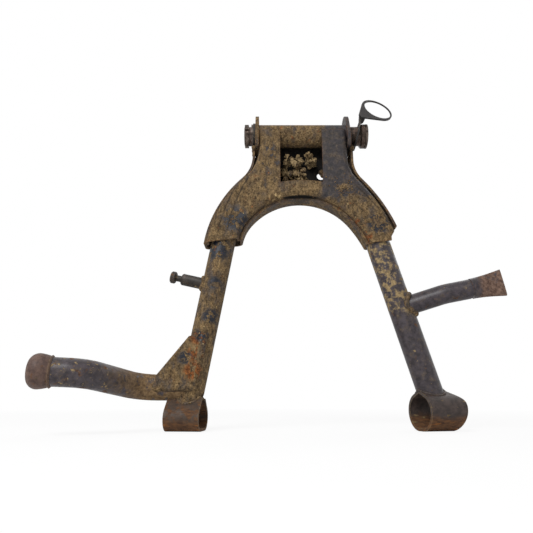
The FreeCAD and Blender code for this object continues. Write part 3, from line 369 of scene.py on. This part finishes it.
# Dead leaves: the eye gets brown, curled and dusty blades with darker rot in them.
def deadLeaf(name):
    material, tree, place = newSurface(name)
    leaf = tonedCoat(tree, place, ("#5c4b33", "#a58e68"), sizeMm=4.0, seed=1.0, roughness=0.85, height=0.5)
    rot = {"colour": linear("#1d150d"), "roughness": 0.9, "height": 0.2}
    coat = layCoat(tree, leaf, rot, patches(tree, place, sizeMm=3.5, bare=0.58, full=0.68, seed=71.0))
    finishSurface(tree, coat, bumpMm=0.3)
    return material


# looks of the muddy pieces: dust, mud and rust cover more as their number falls
# cleanFrom is the x and z right of which and above which the mud is off
# zones are x, z, radius in mm, coat and how much of it shows
# valleyShadeArcs are arcs of painted shade along pressed valleys: x, z, radius in mm, height of the lower and
# upper end
hollowShadeBox = ((-0.0555, -0.0125, -0.085), (0.0555, 0.0149, -0.008))  # the hollow of the yoke, where shade is painted near-black
pressedLook = {
    "paintRoughness": 0.5, "dust": 0.40, "mud": 0.44, "mudSize": 13.0, "rust": 0.62, "bumpMm": 0.9,
    "cleanFrom": (0.0235, -0.072), "paintedHollowShade": hollowShadeBox,
    "valleyShadeArcs": ((0.1494, -0.1833, 253.5, -0.125, -0.045), (0.1063, -0.1582, 196.0, -0.125, -0.055),
                (-0.3201, -0.4178, 514.4, -0.120, -0.070)),
    "zones": ((-0.078, -0.112, 15, "fleck", 0.20), (-0.066, -0.128, 9, "fleck", 0.19),
              (0.083, -0.117, 13, "fleck", 0.16), (-0.042, -0.036, 18, "paint", 0.12),
              (-0.006, -0.080, 13, "mud", 0.35), (-0.030, -0.086, 6, "pale", 0.13),
              (0.046, -0.078, 9, "mud", 0.16), (0.062, -0.117, 6, "rust", 0.17),
              (0.069, -0.132, 6, "rust", 0.17)),
}
shellLook = {
    "paintRoughness": 0.5, "dust": 0.42, "mud": 0.50, "mudSize": 12.0, "rust": 0.63, "bumpMm": 0.8,
    "paintedHollowShade": hollowShadeBox,
}
tubeLook = {
    "paintRoughness": 0.5, "dust": 0.44, "mud": 0.42, "mudSize": 8.0, "rust": 0.60, "bumpMm": 0.6,
    "cleanFrom": (0.030, -0.5),
}
leftLegLook = {
    "paintRoughness": 0.5, "dust": 0.40, "mud": 0.45, "mudSize": 9.0, "rust": 0.63, "bumpMm": 0.6,
    "zones": ((-0.118, -0.262, 8, "rust", 0.15), (-0.120, -0.280, 9, "rust", 0.17),
              (-0.116, -0.245, 7, "rust", 0.14), (-0.128, -0.266, 7, "fleck", 0.22),
              (-0.112, -0.243, 7, "fleck", 0.20), (-0.104, -0.222, 8, "fleck", 0.18),
              (-0.100, -0.185, 7, "fleck", 0.17), (-0.097, -0.146, 14, "fleck", 0.19)),
}
seamMudLook = {"paintRoughness": 0.9, "dust": 0.50, "mud": 0.60, "mudSize": 5.0, "rust": 0.72, "bumpMm": 0.6}
clodLook = {"paintRoughness": 0.8, "dust": 0.30, "mud": 0.46, "mudSize": 6.0, "rust": 0.72, "bumpMm": 0.7}

# looks of the pieces that stayed blacker
# muddyRun is a splash between two heights, mudPast one that starts at the first x and is full at the second
rightLegLook = {"paint": ("#262124", "#463f43"), "roughness": 0.32, "brown": 0.60, "mud": 0.66,
                "muddyRun": (-0.215, -0.11)}
pedalLook = {"paint": ("#2a2529", "#4c4448"), "roughness": 0.30, "brown": 0.56, "mud": 0.585,
             "mudPast": (-0.202, -0.166), "pastTones": ("#523f2b", "#8f7554")}
leverLook = {"paint": ("#252024", "#443d42"), "roughness": 0.34, "brown": 0.60, "mud": 0.66,
             "mudPast": (0.181, 0.189), "pastTones": ("#45322a", "#7d6557")}
postLook = {"paint": ("#1a1715", "#352e28"), "roughness": 0.5, "brown": 0.60, "mud": 0.60}

# looks of the bare steel; rustTop is the height under which rust covers it
leftFootLook = {"skin": ("#2e241d", "#4b3a2d"), "rustTop": -0.328, "spots": 0.48, "soil": 0.62}
rightFootLook = {"skin": ("#28211f", "#453a36"), "rustTop": -0.325, "spots": 0.60, "soil": 0.60}
endCapLook = {"skin": ("#402f2a", "#644e44"), "rustTop": -0.50, "spots": 0.56, "soil": 0.60}
sleeveLook = {"steel": ("#30251f", "#655247"), "roughness": 0.30, "metallic": 0.35}
washerLook = {"steel": ("#332a24", "#71645a"), "roughness": 0.36, "metallic": 0.35}

surfaces = {
    "pressedYoke": mudCakedPaint("mud_caked_black_enamel_yoke", pressedLook),
    "yokeShell": mudCakedPaint("mud_caked_black_enamel_shell", shellLook),
    "pivotTube": mudCakedPaint("mud_caked_black_enamel_tube", tubeLook),
    "leftLeg": mudCakedPaint("mud_caked_black_enamel_leg", leftLegLook),
    "rightLeg": wornBlackPaint("worn_black_enamel_leg", rightLegLook),
    "pedal": wornBlackPaint("worn_black_enamel_pedal", pedalLook),
    "lever": wornBlackPaint("worn_black_enamel_lever", leverLook),
    "post": wornBlackPaint("worn_black_enamel_post", postLook),
    "leftFoot": scrapedFootSteel("scraped_strip_steel_left", leftFootLook),
    "rightFoot": scrapedFootSteel("scraped_strip_steel_right", rightFootLook),
    "endCap": scrapedFootSteel("rusted_cap_steel", endCapLook),
    "sleeve": brownedTurnedSteel("browned_turned_steel", sleeveLook),
    "washer": brownedTurnedSteel("browned_washer_steel", washerLook),
    "rubber": dustyRubber("dusty_moulded_rubber"),
    "strap": dulledStrap("dulled_plated_strap"),
    "seamMud": mudCakedPaint("packed_seam_mud", seamMudLook),
    "leaf": deadLeaf("dead_brown_leaf"),
    "clod": mudCakedPaint("dried_mud_clod", clodLook),
}
nodeSurfaces = {
    "yoke_front_plate": "pressedYoke", "yoke_rear_shell": "yokeShell", "cross_tube": "pivotTube",
    "left_cheek_plate": "pivotTube", "right_cheek_plate": "pressedYoke", "left_leg_tube": "leftLeg",
    "right_leg_tube": "rightLeg", "rear_gusset": "leftLeg", "front_gusset": "leftLeg", "pedal_tube": "pedal",
    "pedal_end_cap": "endCap", "stop_lever": "lever", "spring_post": "post", "left_foot_loop": "leftFoot",
    "right_foot_loop": "rightFoot", "pivot_sleeve": "sleeve", "left_dust_ring": "rubber",
    "left_thrust_washer": "washer", "left_spring_ring": "washer", "right_end_washer": "washer",
    "hose_guide": "strap",
}
for nodeName, surface in nodeSurfaces.items():
    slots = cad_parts[nodeName].data.materials
    slots.clear()
    slots.append(surfaces[surface])
print("surfaces laid on", len(nodeSurfaces), "pieces")


# helpers for seams, mud and litter

def castOn(nodeName, origin, direction):
    # where a line meets a CAD piece, or nothing
    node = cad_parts[nodeName]
    inward = node.matrix_world.inverted()
    hit, place = node.ray_cast(inward @ Vector(origin), inward.to_3x3() @ Vector(direction))[:2]
    return node.matrix_world @ place if hit else None


def seamRing(nodeName, start, direction, radius, count):
    # where lines laid round an axis meet another piece
    along = Vector(direction).normalized()
    across = along.orthogonal().normalized() * radius
    turns = [Matrix.Rotation(math.tau * step / count, 3, along) for step in range(count)]
    found = [castOn(nodeName, Vector(start) + turn @ across, along) for turn in turns]
    return [place for place in found if place]


def alongLine(start, end, count):
    return [Vector(start).lerp(Vector(end), step / (count - 1)) for step in range(count)]


def applyAll(piece):
    bpy.context.view_layer.objects.active = piece
    for modifier in list(piece.modifiers):
        bpy.ops.object.modifier_apply(modifier=modifier.name)


def fuseDrops(name, drops, voxelMm, surface, smoothing=3):
    # balls laid one over another, then skinned as one ragged lump
    bpy.ops.object.select_all(action="DESELECT")
    bpy.ops.mesh.primitive_ico_sphere_add(subdivisions=2, radius=drops[0][1], location=drops[0][0])
    piece = bpy.context.object
    piece.name = name
    bpy.ops.object.transform_apply(location=True, rotation=True, scale=True)
    bpy.ops.object.mode_set(mode="EDIT")
    for place, radius in drops[1:]:
        bpy.ops.mesh.primitive_ico_sphere_add(subdivisions=2, radius=radius, location=place)
    bpy.ops.object.mode_set(mode="OBJECT")
    skin = piece.modifiers.new("skin", "REMESH")
    skin.mode = "VOXEL"
    skin.voxel_size = voxelMm / 1000
    soft = piece.modifiers.new("soft", "SMOOTH")
    soft.iterations = smoothing
    applyAll(piece)
    bpy.ops.object.shade_smooth()
    piece.data.materials.append(surfaces[surface])
    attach(piece, "stand")


beadMaking = {"thinnest": 0.75, "thickest": 1.2, "voxelMm": 0.7}


def layBead(name, places, sizes):
    # a welder's bead or a ridge of mud, uneven along its seam
    luck = random.Random(sizes["seed"])
    drops = [(place, sizes["beadMm"] / 1000 * luck.uniform(beadMaking["thinnest"], beadMaking["thickest"]))
             for place in places]
    fuseDrops(name, drops, beadMaking["voxelMm"], sizes["surface"])


# weld seams, and the legs that they lie on: a leg's axis is at rootX where it is rootDrop under the pivot,
# and leans by lean degrees, to the right where that is positive
legSizes = {"left": {"rootX": -0.0894, "lean": -10.3}, "right": {"rootX": 0.0795, "lean": 15.6},
            "rootDrop": 0.120, "radius": 0.01345}


def legPoint(side, height):
    leg = legSizes[side]
    across = leg["rootX"] - math.tan(math.radians(leg["lean"])) * (height + legSizes["rootDrop"])
    return Vector((across, 0, height))


leverWeld = {"height": -0.2109, "out": (0.0451, -0.0123, 0.0132), "reach": 0.040, "radius": 0.0114, "drops": 44,
             "beadMm": 3.0, "surface": "leftLeg", "seed": 1}
leverOut = Vector(leverWeld["out"]).normalized()
leverStart = legPoint("right", leverWeld["height"]) + leverOut * leverWeld["reach"]
leverSeam = seamRing("right_leg_tube", leverStart, -leverOut, leverWeld["radius"], leverWeld["drops"])
layBead("lever_weld", leverSeam, leverWeld)

postWeld = {"height": -0.1863, "out": (-0.976, 0, 0.218), "reach": 0.040, "radius": 0.0067, "drops": 30,
            "beadMm": 2.6, "surface": "leftLeg", "seed": 2}
postOut = Vector(postWeld["out"])
postStart = legPoint("left", postWeld["height"]) + postOut * postWeld["reach"]
postSeam = seamRing("left_leg_tube", postStart, -postOut, postWeld["radius"], postWeld["drops"])
layBead("post_weld", postSeam, postWeld)

footWeld = {"above": -0.255, "below": -0.3, "clear": 0.0004, "drops": 48, "beadMm": 1.7, "seed": 3}
for side, surface in (("left", "leftLeg"), ("right", "rightFoot")):
    above = legPoint(side, footWeld["above"])
    down = legPoint(side, footWeld["below"]) - above
    footSeam = seamRing(side + "_foot_loop", above, down, legSizes["radius"] + footWeld["clear"],
                        footWeld["drops"])
    layBead(side + "_foot_weld", footSeam, dict(footWeld, surface=surface))

gussetLegWeld = {"top": -0.244, "bottom": -0.2945, "inset": (0.0012, -0.0117, 0), "drops": 30, "beadMm": 5.2,
                 "surface": "leftLeg", "seed": 5}
gussetInset = Vector(gussetLegWeld["inset"])
gussetSeam = alongLine(legPoint("left", gussetLegWeld["top"]) + gussetInset,
                       legPoint("left", gussetLegWeld["bottom"]) + gussetInset, gussetLegWeld["drops"])
layBead("gusset_leg_weld", gussetSeam, gussetLegWeld)

gussetPedalWeld = {"start": (-0.157, -0.0117, -0.2957), "end": (-0.119, -0.0117, -0.2957), "drops": 24,
                   "beadMm": 5.0, "surface": "leftLeg", "seed": 6}
pedalTopSeam = alongLine(gussetPedalWeld["start"], gussetPedalWeld["end"], gussetPedalWeld["drops"])
layBead("gusset_pedal_weld", pedalTopSeam, gussetPedalWeld)

pedalWeld = {"start": (-0.165, 0, -0.296), "towards": (1, 0, 0), "radius": 0.0138, "drops": 48, "beadMm": 1.3,
             "surface": "leftLeg", "seed": 7}
pedalSeam = seamRing("left_leg_tube", pedalWeld["start"], pedalWeld["towards"], pedalWeld["radius"],
                     pedalWeld["drops"])
layBead("pedal_weld", pedalSeam, pedalWeld)
print("weld seams laid")


# mud packed on the shelves of the neck and into the seam of the right shoulder
neckMud = {"across": 0.0582, "height": -0.0205, "halfDepth": 0.012, "drops": 16, "beadMm": 2.3,
           "surface": "leftLeg", "seed": 8}
for side, sign in (("left", -1), ("right", 1)):
    shelf = alongLine((sign * neckMud["across"], -neckMud["halfDepth"], neckMud["height"]),
                      (sign * neckMud["across"], neckMud["halfDepth"], neckMud["height"]), neckMud["drops"])
    layBead(side + "_neck_mud", shelf, neckMud)

seamMud = {
    "stops": ((0.0547, -0.005, -0.0389), (0.0568, -0.005, -0.0518), (0.0638, -0.005, -0.0602),
              (0.0739, -0.005, -0.0684), (0.0843, -0.005, -0.0804)),
    "dropsPerStop": 9, "beadMm": 1.7, "surface": "seamMud", "seed": 9,
}
seamPath = [place for start, end in zip(seamMud["stops"], seamMud["stops"][1:])
            for place in alongLine(start, end, seamMud["dropsPerStop"])]
layBead("right_seam_mud", seamPath, seamMud)
print("mud packed in the seams")


# dead leaves and road dirt caught in the window, crowned near its middle; right of pocketFrom the leaves
# hang high and leave a dark pocket under them
leafLitter = {
    "leaves": 40, "leafMm": (9.0, 16.0), "thickMm": 0.4, "kinds": 3, "seed": 11,
    "left": -0.0225, "width": 0.041, "near": -0.004, "far": 0.009, "top": -0.024, "fall": 0.008, "crown": 0.55,
    "pocketFrom": 0.002, "pocketFloor": -0.036, "floor": -0.060,
    "vertices": 14, "narrow": 0.55, "narrowStep": 0.12, "cuts": 3, "crumple": 0.16, "curl": 70, "curlStep": 35,
}


def leafKind(number):
    bpy.ops.object.select_all(action="DESELECT")
    bpy.ops.mesh.primitive_circle_add(vertices=leafLitter["vertices"], radius=0.5, fill_type="TRIFAN")
    leaf = bpy.context.object
    bpy.ops.object.mode_set(mode="EDIT")
    bpy.ops.mesh.select_all(action="SELECT")
    narrow = leafLitter["narrow"] + leafLitter["narrowStep"] * number
    bpy.ops.transform.resize(value=(1.0, narrow, 1.0))
    bpy.ops.mesh.subdivide(number_cuts=leafLitter["cuts"])
    bpy.ops.transform.vertex_random(offset=leafLitter["crumple"], uniform=0.2, normal=0.9, seed=number)
    bpy.ops.mesh.vertices_smooth(factor=0.5, repeat=3)
    bpy.ops.object.mode_set(mode="OBJECT")
    curl = leaf.modifiers.new("curl", "SIMPLE_DEFORM")
    curl.deform_method = "BEND"
    curl.deform_axis = "Y"
    curl.angle = math.radians(leafLitter["curl"] + leafLitter["curlStep"] * number)
    applyAll(leaf)
    return leaf


leafKinds = [leafKind(number) for number in range(leafLitter["kinds"])]
litterLuck = random.Random(leafLitter["seed"])
scraps = []
for number in range(leafLitter["leaves"]):
    scrap = leafKinds[number % leafLitter["kinds"]].copy()
    scrap.data = scrap.data.copy()
    scene.collection.objects.link(scrap)
    share = litterLuck.random()
    across = leafLitter["left"] + leafLitter["width"] * share
    top = leafLitter["top"] - leafLitter["fall"] * abs(share - leafLitter["crown"]) * 2
    low = leafLitter["pocketFloor"] if across > leafLitter["pocketFrom"] else leafLitter["floor"]
    scrap.location = (across, litterLuck.uniform(leafLitter["near"], leafLitter["far"]),
                      litterLuck.uniform(low, top))
    scrap.rotation_euler = [litterLuck.uniform(0, math.tau) for axis in range(3)]
    scrap.scale = [litterLuck.uniform(*leafLitter["leafMm"]) / 1000] * 3
    scraps.append(scrap)
bpy.ops.object.select_all(action="DESELECT")
for scrap in scraps:
    scrap.select_set(True)
bpy.context.view_layer.objects.active = scraps[0]
bpy.ops.object.transform_apply(location=True, rotation=True, scale=True)
bpy.ops.object.join()
leaves = bpy.context.object
leaves.name = "window_leaf_litter"
thick = leaves.modifiers.new("thickness", "SOLIDIFY")
thick.thickness = leafLitter["thickMm"] / 1000
applyAll(leaves)
bpy.ops.object.shade_smooth()
leaves.data.materials.append(surfaces["leaf"])
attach(leaves, "stand")
for kind in leafKinds:
    bpy.data.objects.remove(kind)

# lumps of mud heaped on the sill under the leaves, with two that half cover the drain hole in the shell
mudClods = {
    "clods": 22, "clodMm": (1.6, 4.0), "left": -0.0240, "right": 0.004, "near": -0.003, "far": 0.010,
    "floor": -0.064, "heapFoot": -0.060, "heapRise": 0.022, "heapAt": -0.006, "heapHalf": 0.026,
    "overDrain": (((0.0235, 0.0095, -0.0432), 3.9), ((0.0250, 0.0095, -0.0470), 3.2)), "voxelMm": 0.6,
}
clodDrops = []
for number in range(mudClods["clods"]):
    across = litterLuck.uniform(mudClods["left"], mudClods["right"])
    slope = max(0.0, 1 - abs(across - mudClods["heapAt"]) / mudClods["heapHalf"])
    heap = mudClods["heapFoot"] + mudClods["heapRise"] * slope
    place = Vector((across, litterLuck.uniform(mudClods["near"], mudClods["far"]),
                    litterLuck.uniform(mudClods["floor"], heap)))
    clodDrops.append((place, litterLuck.uniform(*mudClods["clodMm"]) / 1000))
clodDrops += [(Vector(place), radiusMm / 1000) for place, radiusMm in mudClods["overDrain"]]
fuseDrops("window_mud_clods", clodDrops, mudClods["voxelMm"], "clod", smoothing=1)
print("litter heaped in the window")


# small lumps of dried mud stuck on the rear face of the yoke; spots: x, z, spread in mm and number
mudCrumbs = {
    "spots": ((0.0475, -0.0790, 18, 46), (0.0405, -0.0710, 14, 24), (-0.0300, -0.0870, 9, 14),
              (-0.078, -0.118, 26, 26), (0.076, -0.115, 24, 24), (-0.040, -0.050, 30, 16),
              (-0.004, -0.083, 30, 14)),
    "crumbMm": (0.35, 1.1), "castFrom": -0.2, "voxelMm": 0.3, "seed": 21,
}
crumbLuck = random.Random(mudCrumbs["seed"])
crumbDrops = []
for centreX, centreZ, spreadMm, count in mudCrumbs["spots"]:
    for number in range(count):
        across = centreX + crumbLuck.gauss(0, spreadMm / 2000)
        height = centreZ + crumbLuck.gauss(0, spreadMm / 2000)
        place = castOn("yoke_front_plate", (across, mudCrumbs["castFrom"], height), (0, 1, 0))
        if place:
            crumbDrops.append((place, crumbLuck.uniform(*mudCrumbs["crumbMm"]) / 1000))
fuseDrops("yoke_mud_crumbs", crumbDrops, mudCrumbs["voxelMm"], "clod", smoothing=1)
print("mud crumbs scattered")


# stage: a matt paper floor that keeps the stand's shadow near it and, to the camera, glows white further out
floorSizes = {"side": 8.0, "drop": 0.3402, "tones": ("#f8f8f8", "#ffffff"), "toneMm": 400.0,
              "glowFrom": 0.4, "glowTo": 1.3, "glowNear": 0.88}
bpy.ops.mesh.primitive_plane_add(size=floorSizes["side"], location=(0, 0, -floorSizes["drop"]))
floor = bpy.context.object
floor.name = "studio_floor"
floorPaper, floorTree, floorPlace = newSurface("white_studio_paper")
paperColour = twoTone(floorTree, floorPlace, floorSizes["tones"], floorSizes["toneMm"], seed=1.0)
matt = addNode(floorTree, "BsdfDiffuse", {"Color": paperColour})
glow = addNode(floorTree, "Emission", {"Color": linear("#ffffff"), "Strength": 1.0})
seen = addNode(floorTree, "LightPath")
far = addNode(floorTree, "VectorMath", {0: floorPlace}, operation="LENGTH").outputs["Value"]
glowShare = addNode(floorTree, "MapRange", {
    "Value": far, "From Min": floorSizes["glowFrom"], "From Max": floorSizes["glowTo"],
    "To Min": floorSizes["glowNear"], "To Max": 1.0}).outputs["Result"]
seenShare = times(floorTree, seen.outputs["Is Camera Ray"], glowShare)
paper = addNode(floorTree, "MixShader", {0: seenShare, 1: matt.outputs["BSDF"], 2: glow.outputs["Emission"]})
addNode(floorTree, "OutputMaterial", {"Surface": paper.outputs["Shader"]})
floor.data.materials.append(floorPaper)

# the surround is white to the camera and in reflections, and lights the stand at lightLevel only
surroundSizes = {"lightLevel": 0.36}
world = bpy.data.worlds.new("white_surround")
scene.world = world
world.use_nodes = True
skyTree = world.node_tree
skyTree.nodes.clear()
rays = addNode(skyTree, "LightPath").outputs
straight = addNode(skyTree, "Math", {0: rays["Is Camera Ray"], 1: rays["Is Transmission Ray"]},
                   operation="MAXIMUM").outputs[0]
shown = addNode(skyTree, "Math", {0: straight, 1: rays["Is Glossy Ray"]}, operation="MAXIMUM").outputs[0]
level = addNode(skyTree, "MapRange", {"Value": shown, "To Min": surroundSizes["lightLevel"],
                                      "To Max": 1.0}).outputs["Result"]
sky = addNode(skyTree, "Background", {"Color": linear("#ffffff"), "Strength": level})
addNode(skyTree, "OutputWorld", {"Surface": sky.outputs["Background"]})

lamps = {
    "key_lamp": {"place": (-0.6, -1.1, 0.8), "aim": (0, 0, -0.15), "side": 0.8, "power": 20.0},
    "rim_lamp": {"place": (0.9, 0.7, 0.7), "aim": (0, 0, -0.15), "side": 0.8, "power": 3.6},
}
for name, sizes in lamps.items():
    light = bpy.data.lights.new(name, "AREA")
    light.shape = "SQUARE"
    light.size = sizes["side"]
    light.energy = sizes["power"]
    lamp = bpy.data.objects.new(name, light)
    scene.collection.objects.link(lamp)
    lamp.location = sizes["place"]
    lamp.rotation_euler = (Vector(sizes["aim"]) - Vector(sizes["place"])).to_track_quat("-Z", "Y").to_euler()

cameraSizes = {"place": (-0.043, -0.540, -0.308), "tiltUp": 15.0, "focalPixels": 495.0, "framePixels": 533.0,
               "sensorMm": 36.0, "nearest": 0.01}
lens = bpy.data.cameras.new("photo_camera")
lens.sensor_width = cameraSizes["sensorMm"]
lens.lens = cameraSizes["sensorMm"] * cameraSizes["focalPixels"] / cameraSizes["framePixels"]
lens.clip_start = cameraSizes["nearest"]
camera = bpy.data.objects.new("photo_camera", lens)
scene.collection.objects.link(camera)
camera.location = cameraSizes["place"]
camera.rotation_euler = Euler((math.radians(90 + cameraSizes["tiltUp"]), 0, 0))
scene.camera = camera
scene.view_settings.view_transform = "Standard"
print("stage set")
